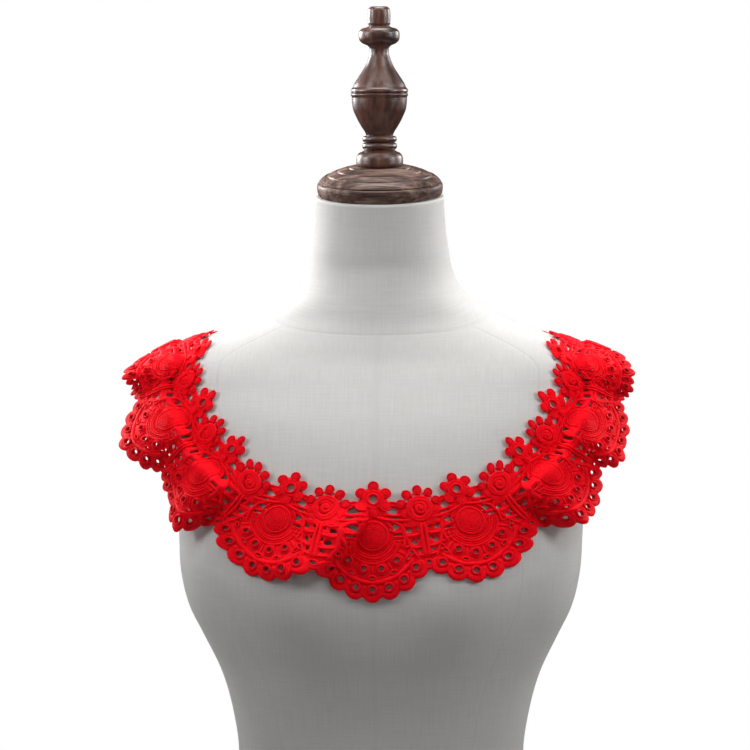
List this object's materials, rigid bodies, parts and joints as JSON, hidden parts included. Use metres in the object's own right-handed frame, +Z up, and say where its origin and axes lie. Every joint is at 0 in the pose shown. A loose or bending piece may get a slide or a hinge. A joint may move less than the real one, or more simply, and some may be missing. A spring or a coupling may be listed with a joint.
{
  "type": "lace collar on dress form",
  "caption": "Wide scalloped guipure lace collar draped round the shoulders of a limbless linen dress form with a turned wooden neck cap and finial.",
  "frame": {"origin": "centre of the form's flat underside, on the surface that it stands on", "axes": "+Z up the form, -Y out of its chest, +X to the viewer's right when facing the chest"},
  "size_m": [0.4103, 0.2399, 0.8158],
  "materials": {
    "lace": "matte embroidered polyester thread with a faint satin sheen",
    "linen": "matte off-white woven linen cover",
    "walnut": "dark stained turned wood under glossy varnish"
  },
  "bodies": {
    "root": {"collar_front": "lace", "collar_back": "lace", "dress_form": "linen", "neck_cap": "walnut", "finial": "walnut"}
  },
  "joints": []
}
